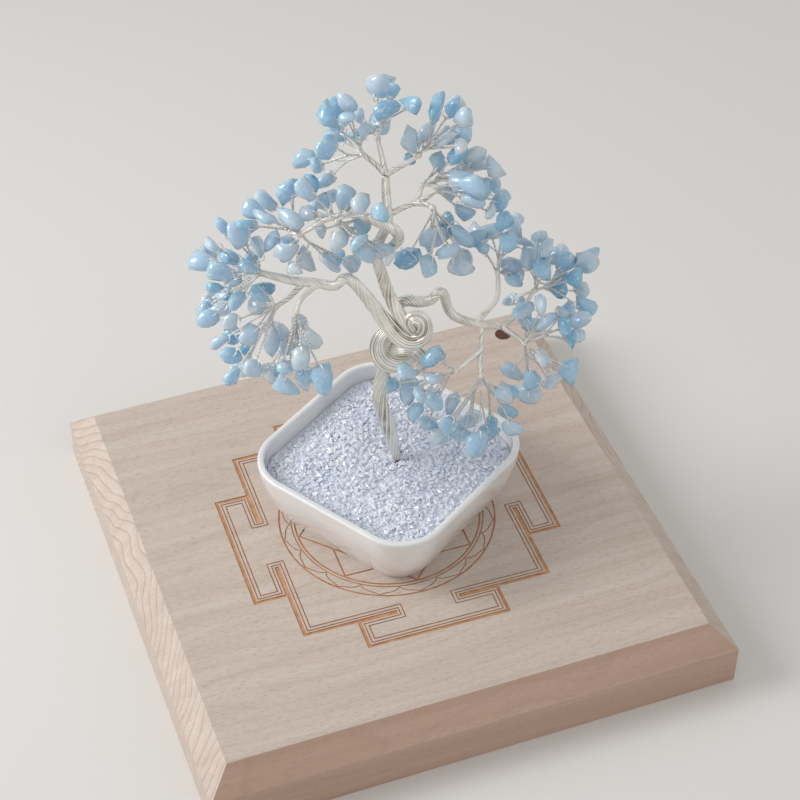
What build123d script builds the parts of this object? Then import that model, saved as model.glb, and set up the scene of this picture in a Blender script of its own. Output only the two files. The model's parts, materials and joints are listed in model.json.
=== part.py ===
from build123d import *
import math
import os
import numpy as np

# Lengths are in millimetres. Names that end in px are places read from the photograph,
# names that end in share are parts of the size beside them.

# Display board: a square slab with a bevel round its upper edge
board_side = 300.0
board_thick = 38.0
board_bevel = 13.0

# Round inlay near the far right corner, and the hole it sits in
inlay_diameter = 10.0
inlay_depth = 4.0
inlay_corner_inset = 16.0
inlay_clearance = 0.05

# Burned yantra: a walled square with four gates, rings, petals and a star
burn_depth = 0.5
yantra_turn = -1.2
wall_half = 71.7
gate_reach = 19.0
gate_half = 41.1
stem_half = 18.0
band_width = 2.0
slot_width = 2.7
hair_width = 0.7
hair_near = 0.9
hair_far = 3.0
stroke_width = 1.0
petal_ring_radius = 61.6
hair_ring_radius = 54.9
star_ring_radius = 53.0
heart_ring_radius = 37.0
petal_count = 16
petal_stroke = 0.6
star_flat_share = 0.7071
petal_points_share = [(0.0, 0.04), (0.16, 0.36), (0.42, 0.6), (0.72, 0.74), (1.0, 0.96)]

# Pot: a square dish of glazed ware with swollen sides, turned on the board
pot_height = 45.0
pot_base_half = 45.0
pot_rim_half = 60.5
pot_base_corner = 18.0
pot_rim_corner = 28.0
pot_wall = 4.0
pot_floor = 5.0
pot_rim_round = 1.5
foot_ring_width = 4.0
foot_ring_depth = 1.5
pot_turn = 32.8
pot_across = 4.0
pot_away = 7.0
swell_share = 0.2
level_shares = [0.0, 0.33, 0.67, 1.0]

# Filling: a cast plug that holds the root, and the bed of crystal grit over it
plug_height = 17.0
fill_gap = 0.3
bed_edge_drop = 10.0
bed_mound = 3.0
mound_share = 0.45
mound_corner_share = 0.3

# Trunk foot on the bed, and the way the photograph looks at it
trunk_across = 8.3
trunk_away = 5.0
view_turn = 20.2
view_drop = 43.37
focal_px = 2156
picture_centre_px = 400
foot_px = (398, 459)
tree_height = 240.0
tree_height_px = 427
sight_share = 5.05

# Wire ropes and twigs
trunk_diameter = 10.0
knot_diameter = 8.0
bundle_diameter = 7.0
centre_diameter = 6.8
bough_diameter = 5.6
crossing_diameter = 6.0
branch_diameter = 3.6
twig_diameter = 0.8
hub_diameter = 3.2
twig_start_share = 0.3
root_length = 12.0
root_bore_gap = 0.05
bed_bore_gap = 1.5
joint_gap = 0.3
arc_share = 0.45

# Gemstone chips: longest, middle and least width of a middling one
chip_length = 12.5
chip_width = 9.4
chip_thick = 6.0
chip_gap = 0.6
seat_gap = 0.1
size_shares = {"S": 0.74, "M": 1.0, "L": 1.26}
outline_shares = [1.0, 0.93, 0.98, 0.88, 0.96, 0.9, 1.0, 0.86]
girth_shares = [(0.0, 0.42), (0.24, 0.88), (0.66, 1.0), (1.0, 0.5)]
depth_steps_px = [0, 13, -12, 24, -20, 7, -6, 18, -15]
twin_back_px = 30
twin_shift_px = 4
twin_every = 3
chip_reach_share = 0.82
bough_gap = 2.5
ease_rounds = 120
ease_share = 0.25
depth_bias_share = 0.4

# Half turn, and the turn that spreads things evenly
HALF_TURN = 180
GOLDEN_TURN = 137.5

square_sides = 4
points_per_diameter = 4

os.makedirs("parts", exist_ok=True)


def finish(piece, name):
    """Label a finished piece and write its file."""
    piece.label = name
    export_step(piece, f"parts/{name}.step")


# Places in the photograph

def sight_line(column, row):
    """Direction of the line of sight through a place in the picture: across, away, up."""
    drop = math.radians(view_drop)
    aside = (column - picture_centre_px) / focal_px
    below = (row - picture_centre_px) / focal_px
    away = math.cos(drop) - below * math.sin(drop)
    up = -math.sin(drop) - below * math.cos(drop)
    return Vector(aside, away, up)


trunk_foot = Vector(trunk_across, trunk_away, board_thick + pot_height - bed_edge_drop + bed_mound)
pixel = tree_height / tree_height_px
eye = sight_line(*foot_px).normalized() * -tree_height * sight_share


def spot(column, row, back=0):
    """Point seen at a place in the picture, at a number of pixels behind the trunk's foot."""
    sight = sight_line(column, row)
    local = eye + sight * ((back * pixel - eye.Y) / sight.Y)
    return trunk_foot + local.rotate(Axis.Z, -view_turn)


def spots(*places):
    return [spot(*place) for place in places]


# Wire ropes

def rope_path(points):
    """Straight runs joined by arcs, each as wide as its two runs allow."""
    radii = []
    for before, corner, after in zip(points, points[1:], points[2:]):
        arriving, leaving = corner - before, after - corner
        half_turn = math.radians(arriving.get_angle(leaving)) / 2
        shorter = min(arriving.length, leaving.length)
        radii.append(arc_share * shorter / math.tan(half_turn))
    if not radii:
        return Line(*points)
    return FilletPolyline(*points, radius=radii)


def add_rope(points, diameter):
    """Sweep a round rope along its route and join it to the part in hand."""
    with BuildLine() as route:
        rope_path(points)
    with BuildSketch(Plane(origin=route.line @ 0, z_dir=route.line % 0)) as section:
        Circle(diameter / 2)
    sweep(section.sketch, path=route.line)
    return route.wires()[0]


def add_ball(centre, diameter):
    with Locations(centre):
        Sphere(diameter / 2)


def toward(start, end, distance):
    """Point at a distance from start on the way to end."""
    return start + (end - start).normalized() * distance


def hub_route(places):
    """Route that stops just short of the ball at a spray's hub, its last place."""
    points = spots(*places)
    points[-1] = toward(points[-1], points[-2], hub_diameter / 2 + seat_gap)
    return points


def socket_route(pivot, diameter, places):
    """Route whose first end is a flat face just clear of the ball at a pivot."""
    points = spots(*places)
    return [toward(pivot, points[0], diameter / 2 + joint_gap)] + points


def least_gap(line, diameter):
    """Least gap between a rope and itself, measured on points further apart than its turns."""
    count = math.ceil(line.length / diameter * points_per_diameter)
    points = np.array([tuple(line @ (step / count)) for step in range(count + 1)])
    apart = np.linalg.norm(points[:, None] - points[None], axis=2)
    along = np.abs(np.subtract.outer(np.arange(count + 1), np.arange(count + 1))) * line.length / count
    return apart[along > math.pi * diameter].min() - diameter


# Display board

board_top = Plane.XY.offset(board_thick)
yantra_plane = board_top.rotated((0, 0, yantra_turn))


def wall_outline():
    """Corners of the walled square and its four gates, once round."""
    corners = []
    for side in range(square_sides):
        for along, out in [
            (-wall_half, wall_half),
            (-gate_half, wall_half),
            (-gate_half, wall_half + gate_reach),
            (gate_half, wall_half + gate_reach),
            (gate_half, wall_half),
        ]:
            corners.append(Vector(along, out).rotate(Axis.Z, -side * HALF_TURN / 2))
    return corners


def add_court(inset, mode):
    """Floor inside the walls and gates, drawn in from the band by an inset."""
    inner_half = wall_half - band_width - inset
    bar_low = wall_half - band_width + slot_width + inset
    bar_high = wall_half + gate_reach - band_width - inset
    Rectangle(2 * inner_half, 2 * inner_half, mode=mode)
    with PolarLocations(0, square_sides):
        with Locations((0, (bar_low + bar_high) / 2)):
            Rectangle(2 * (gate_half - band_width - inset), bar_high - bar_low, mode=mode)
        with Locations((0, bar_high / 2)):
            Rectangle(2 * (stem_half - inset), bar_high, mode=mode)


def petal_outline():
    """Corners of the petals' edge, once round: up to each tip and down to the next valley."""
    half_angle = HALF_TURN / petal_count
    low = hair_ring_radius + hair_width / 2
    high = petal_ring_radius - stroke_width / 2
    corners = []
    for petal in range(petal_count):
        for side, points in [(-1, petal_points_share), (1, petal_points_share[-2:0:-1])]:
            for turn_share, rise_share in points:
                angle = half_angle * (2 * petal + side * (1 - turn_share))
                radius = low + (high - low) * rise_share
                corners.append(Vector(radius, 0).rotate(Axis.Z, angle))
    return corners


# The burned lines are laid from the outside in: each shape is added, then its inside cleared.
with BuildSketch(yantra_plane) as yantra:
    with BuildLine():
        Polyline(*wall_outline(), close=True)
    make_face()
    add_court(0, Mode.SUBTRACT)
    for hair_inset in (hair_near, hair_far):
        add_court(hair_inset, Mode.ADD)
        add_court(hair_inset + hair_width, Mode.SUBTRACT)
    Circle(petal_ring_radius + stroke_width / 2)
    Circle(petal_ring_radius - stroke_width / 2, mode=Mode.SUBTRACT)
    for shift, mode in [(petal_stroke / 2, Mode.ADD), (-petal_stroke / 2, Mode.SUBTRACT)]:
        with BuildLine() as petal_line:
            Polyline(*petal_outline(), close=True)
            offset(amount=shift, kind=Kind.INTERSECTION, mode=Mode.REPLACE)
        make_face(petal_line.edges(), mode=mode)
    for radius, width in [(hair_ring_radius, hair_width), (star_ring_radius, stroke_width)]:
        Circle(radius + width / 2)
        Circle(radius - width / 2, mode=Mode.SUBTRACT)
    for turn in (HALF_TURN / 4, 0):
        RegularPolygon(star_ring_radius, square_sides, rotation=turn)
        inner_radius = star_ring_radius - stroke_width / star_flat_share
        RegularPolygon(inner_radius, square_sides, rotation=turn, mode=Mode.SUBTRACT)
    Circle(heart_ring_radius + stroke_width / 2)
    Circle(heart_ring_radius - stroke_width / 2, mode=Mode.SUBTRACT)

with BuildPart() as display_board:
    with BuildSketch():
        Rectangle(board_side, board_side)
    extrude(amount=board_thick)
    chamfer(display_board.faces().sort_by(Axis.Z)[-1].edges(), board_bevel)
    extrude(yantra.sketch, amount=-burn_depth, mode=Mode.SUBTRACT)
    inlay_place = board_side / 2 - board_bevel - inlay_corner_inset
    with Locations((inlay_place, inlay_place, board_thick)):
        Hole(inlay_diameter / 2 + inlay_clearance, depth=inlay_depth)
finish(display_board.part, "display_board")

with BuildPart() as corner_inlay:
    with BuildSketch(board_top.offset(-inlay_depth)):
        with Locations((inlay_place, inlay_place)):
            Circle(inlay_diameter / 2)
    extrude(amount=inlay_depth)
finish(corner_inlay.part, "corner_inlay")

# Pot

pot_plane = Plane(
    origin=(pot_across, pot_away, board_thick),
    x_dir=Vector(1, 0, 0).rotate(Axis.Z, pot_turn),
    z_dir=(0, 0, 1),
)


def pot_half(height_share):
    """Half the pot's outer width at a share of its height, with the sides' swell."""
    straight = height_share + swell_share * 4 * height_share * (1 - height_share)
    return pot_base_half + (pot_rim_half - pot_base_half) * straight


def pot_corner(height_share):
    return pot_base_corner + (pot_rim_corner - pot_base_corner) * height_share


def pot_sections(low, high, inset):
    """Rounded squares of the pot's outline from a low level to a high one, drawn in by an inset."""
    sections = []
    for level_share in level_shares:
        height = low + (high - low) * level_share
        side = 2 * (pot_half(height / pot_height) - inset)
        with BuildSketch(pot_plane.offset(height)) as section:
            RectangleRounded(side, side, pot_corner(height / pot_height) - inset)
        sections.append(section.sketch)
    return sections


with BuildPart() as pot:
    loft(pot_sections(0, pot_height, 0))
    loft(pot_sections(pot_floor, pot_height, pot_wall), mode=Mode.SUBTRACT)
    rim_edges = pot.edges().filter_by_position(Axis.Z, *[board_thick + pot_height] * 2)
    fillet(rim_edges, pot_rim_round)
    with BuildSketch(pot_plane):
        foot_side = 2 * (pot_base_half - foot_ring_width)
        RectangleRounded(foot_side, foot_side, pot_base_corner - foot_ring_width)
    extrude(amount=foot_ring_depth, mode=Mode.SUBTRACT)
finish(pot.part, "pot")

# Filling

root_bottom = board_thick + pot_floor + plug_height - root_length
plug_top = board_thick + pot_floor + plug_height
bed_top = board_thick + pot_height - bed_edge_drop

with BuildPart() as plaster_plug:
    loft(pot_sections(pot_floor, pot_floor + plug_height, pot_wall + fill_gap), ruled=True)
    with Locations((trunk_foot.X, trunk_foot.Y, plug_top)):
        Hole(trunk_diameter / 2 + root_bore_gap, depth=root_length)
finish(plaster_plug.part, "plaster_plug")

with BuildPart() as crystal_bed:
    bed_level = pot_height - bed_edge_drop
    loft(pot_sections(pot_floor + plug_height, bed_level, pot_wall + fill_gap), ruled=True)
    mound_side = 2 * (pot_half(1) - pot_wall) * mound_share
    with BuildSketch(pot_plane.offset(bed_level + bed_mound)) as mound:
        RectangleRounded(mound_side, mound_side, mound_side * mound_corner_share)
    loft([pot_sections(0, bed_level, pot_wall + fill_gap)[-1], mound.sketch], ruled=True)
    with Locations((trunk_foot.X, trunk_foot.Y, board_thick + pot_height)):
        Hole(trunk_diameter / 2 + bed_bore_gap)
finish(crystal_bed.part, "crystal_bed")

# Trunk and knots: wires gathered into ropes, which part and curl round each other

root_end = Vector(trunk_foot.X, trunk_foot.Y, root_bottom)
root_neck = Vector(trunk_foot.X, trunk_foot.Y, bed_top)
trunk_px = [
    (393, 438, 0), (383, 412, 0), (379, 394, 1), (383, 376, 4), (388, 358, 8), (392, 341, 14), (396, 327, 20),
]
left_bundle_px = [
    (360, 289, -6), (372, 305, -8), (384, 322, -12), (397, 339, -16), (414, 345, -17),
    (427, 336, -16), (427, 320, -15), (416, 312, -17), (410, 328, -20),
]
centre_bundle_px = [(387, 290, 2), (395, 307, -2), (405, 323, -10)]
right_rope_px = [(418, 303, 6), (408, 300, 9), (398, 305, 7), (399, 313, 12), (397, 325, 17)]
crown_pivot = spot(379, 266, 2)
left_pivot = spot(350, 279, -5)
right_pivot = spot(433, 301, 3)
front_pivot = spot(482, 333.5, 2)

with BuildPart() as trunk_rope:
    trunk_line = add_rope([root_end, root_neck] + spots(*trunk_px), trunk_diameter)
finish(trunk_rope.part, "trunk_rope")

lower_knot_px = (400, 353, -8)
lower_knot_across = 11.2
lower_knot_rise = 7.4
lower_knot_pitch = 9.0
lower_knot_start_turn = -50
lower_knot_turn = 330
lower_knot_steps = 9


def lower_knot_route():
    """Flattened turn before the trunk that winds toward the viewer, worked out step by step."""
    sight = sight_line(*foot_px).normalized().rotate(Axis.Z, -view_turn)
    right = Vector(1, 0, 0).rotate(Axis.Z, -view_turn)
    up = right.cross(sight)
    route = []
    for step in range(lower_knot_steps + 1):
        turn_share = step / lower_knot_steps
        turn = math.radians(lower_knot_start_turn + lower_knot_turn * turn_share)
        aside = right * lower_knot_across * math.cos(turn) + up * lower_knot_rise * math.sin(turn)
        route.append(spot(*lower_knot_px) + aside - sight * lower_knot_pitch * (turn_share - 1 / 2))
    return route


with BuildPart() as lower_knot:
    lower_knot_line = add_rope(lower_knot_route(), knot_diameter)
finish(lower_knot.part, "lower_knot")
print("least gap of the lower knot to itself", round(least_gap(lower_knot_line, knot_diameter), 2))

with BuildPart() as left_bundle:
    left_bundle_route = socket_route(left_pivot, bough_diameter, left_bundle_px)
    left_bundle_line = add_rope(left_bundle_route, bundle_diameter)
finish(left_bundle.part, "left_bundle")
print("least gap of the upper knot to itself", round(least_gap(left_bundle_line, bundle_diameter), 2))

with BuildPart() as centre_bundle:
    add_rope(socket_route(crown_pivot, centre_diameter, centre_bundle_px), centre_diameter)
finish(centre_bundle.part, "centre_bundle")

with BuildPart() as right_rope:
    add_rope(socket_route(right_pivot, bough_diameter, right_rope_px), bough_diameter)
finish(right_rope.part, "right_rope")

# Boughs: ropes that bend from the trunk, each with a ball at the place where it bends

crossing_px = [
    (386, 252, 3), (401, 242, -6), (397, 231, -15), (383, 225, -17), (368, 218, -14), (355, 213, -10),
    (342, 216, -8),
]
crossing_branch_px = [(342, 216, -8), (327, 219, -8), (313, 228, -6), (301, 235, -4)]
canopy_branch_px = [(342, 216, -8), (338, 222, -18)]
crown_rope_px = [(375, 253, 4), (380, 240, 6), (388, 226, 10), (388, 210, 16), (386, 193, 22), (386, 176, 28)]
crown_left_px = [(386, 176, 28), (378, 165, 32), (363, 155, 36)]
crown_top_px = [(386, 176, 28), (383, 160, 34), (378, 139, 44)]
crown_right_px = [(386, 176, 28), (395, 170, 30), (407, 164, 34), (419, 156, 38)]
right_crown_px = [(388, 216, 14), (403, 208, 18), (414, 204, 20), (421, 195, 24), (422, 186, 28)]
right_crown_branch_px = [(414, 204, 20), (426, 201, 20), (436, 191, 24)]
right_crown_drop_px = [(414, 204, 20), (425, 203, 16), (433, 208, 12)]
left_rope_px = [
    (343, 279, -5), (336, 288, -4), (320, 284, 0), (305, 283, 0), (290, 281, 0), (276, 277, 0), (262, 274, 2),
]
left_drop_px = [(320, 284, 0), (309, 292, -6), (300, 301, -14), (297, 312, -22)]
left_back_px = [(305, 283, 0), (296, 292, -2), (287, 301, -6), (277, 307, -12)]
right_bough_px = [
    (438, 292, 2), (445, 294, 5), (446, 304, 8), (452, 316, 8), (464, 321, 7),
    (476, 324, 6), (489, 326, 5), (502, 327, 4),
]
right_upper_px = [(476, 324, 6), (488, 311, 12), (498, 300, 18), (499, 287, 24), (498, 273, 30)]
right_outer_px = [(502, 327, 4), (514, 319, 12), (525, 306, 22), (535, 291, 34)]
right_lower_px = [(502, 327, 4), (515, 336, -1), (525, 344, -6)]
front_rope_px = [(482, 350, -4), (480, 363, -14), (482, 377, -26)]
front_left_px = [(482, 350, -4), (471, 361, -16), (457, 371, -28)]

with BuildPart() as crown_rope:
    add_ball(crown_pivot, centre_diameter)
    add_rope([crown_pivot] + spots(*crown_rope_px), centre_diameter)
    for branch_px in (crown_left_px, crown_top_px, crown_right_px, right_crown_drop_px):
        add_rope(hub_route(branch_px), branch_diameter)
    add_rope(hub_route(right_crown_px), branch_diameter)
    add_rope(hub_route(right_crown_branch_px), branch_diameter)
finish(crown_rope.part, "crown_rope")

with BuildPart() as crossing_rope:
    add_rope(spots(*crossing_px), crossing_diameter)
    for branch_px in (crossing_branch_px, canopy_branch_px):
        add_rope(hub_route(branch_px), branch_diameter)
finish(crossing_rope.part, "crossing_rope")

with BuildPart() as left_rope:
    add_ball(left_pivot, bough_diameter)
    add_rope([left_pivot] + hub_route(left_rope_px), bough_diameter)
    for branch_px in (left_drop_px, left_back_px):
        add_rope(hub_route(branch_px), branch_diameter)
finish(left_rope.part, "left_rope")

with BuildPart() as right_bough_rope:
    add_ball(right_pivot, bough_diameter)
    add_rope([right_pivot] + spots(*right_bough_px), bough_diameter)
    for branch_px in (right_upper_px, right_outer_px, right_lower_px):
        add_rope(hub_route(branch_px), branch_diameter)
finish(right_bough_rope.part, "right_bough_rope")

with BuildPart() as front_rope:
    add_ball(front_pivot, branch_diameter)
    add_rope([front_pivot] + hub_route(front_rope_px), branch_diameter)
    add_rope(hub_route(front_left_px), branch_diameter)
finish(front_rope.part, "front_rope")

# Sprays: for each tip of a rope, where it is and the chips wired to it.
# A chip is the column and row of its middle and its size.
sprays_px = {
    "crown_left": ((363, 155, 36), [
        (331, 117, "L"), (344, 103, "M"), (347, 118, "S"), (335, 131, "M"), (328, 148, "L"), (356, 139, "S"),
        (365, 132, "S"), (305, 159, "M"), (316, 168, "M"), (323, 183, "M"),
    ]),
    "crown_top": ((378, 139, 44), [
        (378, 87, "L"), (392, 92, "S"), (388, 110, "L"), (377, 125, "M"), (413, 103, "M"), (360, 118, "S"),
    ]),
    "crown_right": ((419, 156, 38), [
        (410, 143, "M"), (411, 159, "S"), (436, 108, "L"), (453, 106, "M"), (466, 120, "M"), (464, 134, "M"),
        (443, 141, "M"), (430, 134, "M"), (460, 147, "S"),
    ]),
    "right_crown": ((422, 186, 28), [
        (458, 160, "M"), (474, 153, "M"), (493, 169, "M"), (476, 166, "S"), (479, 180, "L"), (443, 168, "M"),
        (459, 176, "L"), (452, 190, "M"),
    ]),
    "right_crown_end": ((436, 191, 24), [
        (482, 191, "M"), (494, 188, "M"), (473, 200, "M"), (499, 201, "M"), (492, 211, "S"), (464, 213, "M"),
    ]),
    "right_crown_drop": ((433, 208, 12), [
        (433, 233, "L"), (411, 260, "L"), (431, 265, "M"), (431, 249, "S"), (448, 252, "M"), (459, 235, "L"),
        (460, 266, "L"), (447, 222, "S"),
    ]),
    "left_canopy": ((338, 222, -18), [
        (305, 190, "M"), (345, 198, "M"), (362, 205, "M"), (309, 215, "M"), (378, 213, "M"), (350, 223, "L"),
        (341, 238, "M"), (322, 232, "S"), (358, 242, "M"), (371, 251, "M"), (385, 247, "M"), (390, 258, "S"),
        (325, 203, "M"),
    ]),
    "left_canopy_end": ((301, 235, -4), [
        (289, 193, "L"), (266, 201, "M"), (286, 219, "L"), (254, 212, "M"), (247, 221, "S"), (272, 242, "M"),
        (286, 251, "M"), (305, 261, "L"), (296, 269, "S"), (331, 262, "M"), (352, 265, "M"), (268, 222, "M"),
    ]),
    "left_bough": ((262, 274, 2), [
        (241, 233, "L"), (224, 228, "M"), (214, 248, "M"), (204, 262, "L"), (221, 271, "L"), (230, 258, "L"),
        (247, 268, "M"), (256, 250, "M"), (215, 288, "M"), (224, 296, "S"), (236, 284, "M"), (236, 300, "L"),
        (203, 306, "M"), (209, 321, "M"), (221, 309, "M"),
    ]),
    "left_under": ((277, 307, -12), [
        (261, 296, "M"), (264, 314, "M"), (231, 321, "M"), (223, 338, "M"), (250, 336, "M"), (235, 356, "M"),
        (236, 376, "M"), (246, 366, "M"), (259, 367, "M"), (273, 337, "L"), (246, 350, "S"),
    ]),
    "left_hanging": ((297, 312, -22), [
        (298, 331, "L"), (288, 351, "M"), (303, 353, "M"), (271, 374, "M"), (285, 367, "M"), (296, 367, "S"),
        (294, 385, "L"), (305, 381, "M"), (318, 379, "L"),
    ]),
    "right_upper": ((498, 273, 30), [
        (476, 236, "M"), (489, 232, "L"), (503, 223, "M"), (517, 229, "M"), (509, 243, "M"), (507, 265, "M"),
        (514, 279, "M"), (526, 243, "M"), (484, 250, "S"),
    ]),
    "right_outer": ((535, 291, 34), [
        (528, 259, "L"), (537, 238, "M"), (546, 252, "M"), (556, 257, "M"), (542, 268, "M"), (566, 263, "M"),
        (586, 267, "L"), (564, 279, "M"), (577, 277, "M"), (551, 291, "M"), (583, 291, "M"), (587, 303, "M"),
        (509, 302, "S"),
    ]),
    "right_lower": ((525, 344, -6), [
        (524, 314, "L"), (533, 333, "M"), (545, 322, "M"), (562, 311, "M"), (565, 328, "M"), (582, 318, "M"),
        (573, 341, "M"), (569, 370, "L"), (544, 361, "M"), (550, 381, "M"), (514, 375, "L"), (532, 379, "M"),
        (528, 394, "L"), (544, 306, "M"),
    ]),
    "front": ((482, 377, -26), [
        (505, 394, "M"), (508, 411, "M"), (514, 427, "M"), (468, 421, "M"), (478, 443, "L"), (464, 436, "M"),
        (487, 435, "M"), (451, 403, "M"), (449, 426, "M"), (439, 438, "M"), (492, 421, "S"),
    ]),
    "front_left": ((457, 371, -28), [
        (434, 359, "M"), (394, 384, "L"), (409, 373, "M"), (410, 391, "L"), (420, 396, "M"), (416, 411, "M"),
        (435, 400, "M"), (428, 423, "M"), (434, 379, "S"),
    ]),
}

rope_routes = [
    (spots(*route_px), diameter / 2)
    for route_px, diameter in [
        (trunk_px, trunk_diameter),
        (left_bundle_px, bundle_diameter),
        (centre_bundle_px, centre_diameter),
        (right_rope_px, bough_diameter),
        (crossing_px, crossing_diameter),
        (crossing_branch_px, branch_diameter),
        (canopy_branch_px, branch_diameter),
        (crown_rope_px, centre_diameter),
        (crown_left_px, branch_diameter),
        (crown_top_px, branch_diameter),
        (crown_right_px, branch_diameter),
        (right_crown_px, branch_diameter),
        (right_crown_branch_px, branch_diameter),
        (right_crown_drop_px, branch_diameter),
        (left_rope_px, bough_diameter),
        (left_drop_px, branch_diameter),
        (left_back_px, branch_diameter),
        (right_bough_px, bough_diameter),
        (right_upper_px, branch_diameter),
        (right_outer_px, branch_diameter),
        (right_lower_px, branch_diameter),
        (front_rope_px, branch_diameter),
        (front_left_px, branch_diameter),
    ]
] + [(lower_knot_route(), knot_diameter / 2)]
bough_sprays = [
    ("crown_left", "crown_top", "crown_right", "right_crown", "right_crown_end", "right_crown_drop",
     "left_canopy", "left_canopy_end"),
    ("left_bough", "left_under", "left_hanging"),
    ("right_upper", "right_outer", "right_lower"),
    ("front", "front_left"),
]


def nearest_on_runs(points, starts, ends):
    """Nearest place to each point on each straight run, as an array of points by runs."""
    runs = ends - starts
    shares = ((points[:, None] - starts[None]) * runs[None]).sum(axis=2) / (runs**2).sum(axis=1)
    return starts[None] + np.clip(shares, 0, 1)[..., None] * runs[None]


def ease_apart(middles, hubs, radii, boughs, ropes):
    """Push chips away from each other, from each other's twigs and from the ropes, mostly in depth.

    Chips on different boughs keep further apart, because the boughs bend."""
    own_gap = radii[:, None] + radii[None] + (boughs[:, None] != boughs[None]) * bough_gap
    twig_gap = np.repeat(radii[:, None] + twig_diameter, len(radii), axis=1)
    sight = np.array(tuple(sight_line(*foot_px).rotate(Axis.Z, -view_turn).normalized()))
    rope_starts = np.array([tuple(p) for points, _ in ropes for p in points[:-1]])
    rope_ends = np.array([tuple(p) for points, _ in ropes for p in points[1:]])
    rope_radii = np.array([radius for points, radius in ropes for _ in points[1:]])
    rope_gap = radii[:, None] + rope_radii[None] + chip_gap
    for _ in range(ease_rounds):
        shift = np.zeros_like(middles)
        for nearest, clear, mutual in [
            (np.repeat(middles[None], len(middles), 0), own_gap + chip_gap, True),
            (nearest_on_runs(middles, hubs, middles), twig_gap, True),
            (nearest_on_runs(middles, rope_starts, rope_ends), rope_gap, False),
        ]:
            away = middles[:, None] - nearest
            apart = np.linalg.norm(away, axis=2)
            if mutual:
                np.fill_diagonal(apart, np.inf)
            lack = np.clip(clear - apart, 0, None)
            away += sight * ((away @ sight >= 0) * 2 - 1)[..., None] * depth_bias_share * clear[..., None]
            away /= np.linalg.norm(away, axis=2)[..., None]
            push = away * lack[..., None] * ease_share
            shift += push.sum(axis=1)
            if mutual:
                shift -= push.sum(axis=0)
        middles = middles + shift
    return middles


def wanted_chips():
    """Spray, hub, middle and size of every chip, with twins behind some of them."""
    wanted = []
    for spray, (hub_px, chips_px) in sprays_px.items():
        for index, (column, row, size) in enumerate(chips_px):
            back = hub_px[2] + depth_steps_px[index % len(depth_steps_px)]
            wanted.append((spray, spot(*hub_px), spot(column, row, back), size))
            if index % twin_every == 0:
                twin = spot(column + twin_shift_px, row - twin_shift_px, back + twin_back_px)
                wanted.append((spray, spot(*hub_px), twin, size))
    return wanted


def chip_shape(across, through, tall, start):
    """Faceted pebble: like sections of one outline, narrow below, full above the middle."""
    sections = []
    for height_share, girth_share in girth_shares:
        corners = []
        for index in range(len(outline_shares)):
            reach = outline_shares[(index + start) % len(outline_shares)] * girth_share / 2
            turn = 2 * math.pi * index / len(outline_shares)
            corners.append((across * reach * math.cos(turn), through * reach * math.sin(turn)))
        with BuildSketch(Plane.XY.offset(tall * height_share)) as section:
            with BuildLine():
                Polyline(*corners, close=True)
            make_face()
        sections.append(section.sketch)
    with BuildPart() as chip:
        loft(sections, ruled=True)
    return chip.part


chip_stances = [
    (chip_width, chip_thick, chip_length),
    (chip_length, chip_thick, chip_width),
    (chip_width, chip_thick, chip_length),
    (chip_length, chip_width, chip_thick),
]
chip_shapes = {
    (size, stance): chip_shape(*(length * size_share for length in lengths), stance)
    for size, size_share in size_shares.items()
    for stance, lengths in enumerate(chip_stances)
}

hub_knot = chip_shape(hub_diameter, hub_diameter, hub_diameter, 1).moved(Location((0, 0, -hub_diameter / 2)))

wanted = wanted_chips()
first_places = np.array([tuple(middle) for _, _, middle, _ in wanted])
eased = ease_apart(
    first_places,
    np.array([tuple(hub) for _, hub, _, _ in wanted]),
    np.array([chip_length * size_shares[size] * chip_reach_share / 2 for _, _, _, size in wanted]),
    np.array([[spray in sprays for sprays in bough_sprays].index(True) for spray, _, _, _ in wanted]),
    rope_routes,
)
fans = {spray: [] for spray in sprays_px}
for index, ((spray, hub, _, size), middle) in enumerate(zip(wanted, eased)):
    stance = index % len(chip_stances)
    tall = chip_stances[stance][2] * size_shares[size]
    aim = (Vector(*middle) - hub).normalized()
    seat = Vector(*middle) - aim * (tall / 2)
    side = aim.cross(Vector(0, 0, 1)).rotate(Axis((0, 0, 0), aim), index * GOLDEN_TURN)
    chip = chip_shapes[size, stance].moved(Plane(origin=seat, x_dir=side, z_dir=aim).location)
    start = hub + aim * hub_diameter * twig_start_share
    with BuildPart() as twig:
        with BuildSketch(Plane(origin=start, x_dir=side, z_dir=aim)):
            Rectangle(twig_diameter, twig_diameter)
        extrude(amount=(seat - start).length - seat_gap)
    fans[spray].append((chip, twig.part))

for spray, fan in fans.items():
    finish(Compound([chip.solid() for chip, _ in fan]), f"chips_{spray}")
    with BuildPart() as twigs:
        add(hub_knot.moved(Location(spot(*sprays_px[spray][0]))))
        add([twig for _, twig in fan], clean=False)
    finish(twigs.part, f"twigs_{spray}")
print("chips", len(wanted), "moved by", np.round(np.abs(eased - first_places).max(), 1))
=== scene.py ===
"""Dress of a gemstone tree: wound wire boughs, tumbled stones, crystal grit, glazed pot and beech board."""
import functools
import json
import math

import bpy
import numpy as np
from bpy.props import FloatProperty, FloatVectorProperty, IntProperty, PointerProperty
from mathutils import Matrix


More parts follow.
